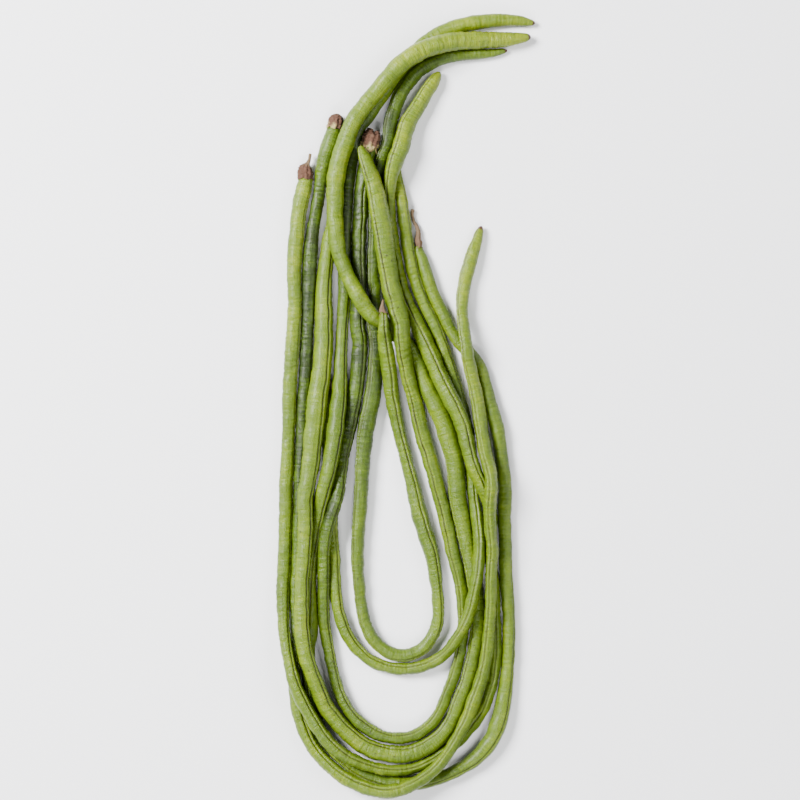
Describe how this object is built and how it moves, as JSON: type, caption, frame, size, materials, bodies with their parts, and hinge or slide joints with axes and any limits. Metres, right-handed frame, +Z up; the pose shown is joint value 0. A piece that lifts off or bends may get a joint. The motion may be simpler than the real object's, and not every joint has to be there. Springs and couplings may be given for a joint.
{
  "type": "yardlong bean bunch",
  "caption": "Bunch of fresh yardlong beans, long slender green pods folded once into a loop and laid flat, with dried brown calyxes at their stem ends.",
  "frame": {"origin": "on the surface that the bunch lies on, under the middle of its bounding box", "axes": "+Y along the bunch from the fold to the loose ends, +Z up from the surface, +X to the right as seen from above"},
  "size_m": [0.1383, 0.4161, 0.0194],
  "materials": {
    "pod_green": "satin",
    "calyx_brown": "matte"
  },
  "bodies": {
    "root": {"bean_1": "pod_green", "bean_1_calyx": "calyx_brown", "bean_2": "pod_green", "bean_2_calyx": "calyx_brown", "bean_3": "pod_green", "bean_3_calyx": "calyx_brown", "bean_4": "pod_green", "bean_4_calyx": "calyx_brown", "bean_5": "pod_green", "bean_5_calyx": "calyx_brown", "bean_6": "pod_green", "bean_6_calyx": "calyx_brown", "bean_7": "pod_green", "bean_7_calyx": "calyx_brown"}
  },
  "joints": []
}
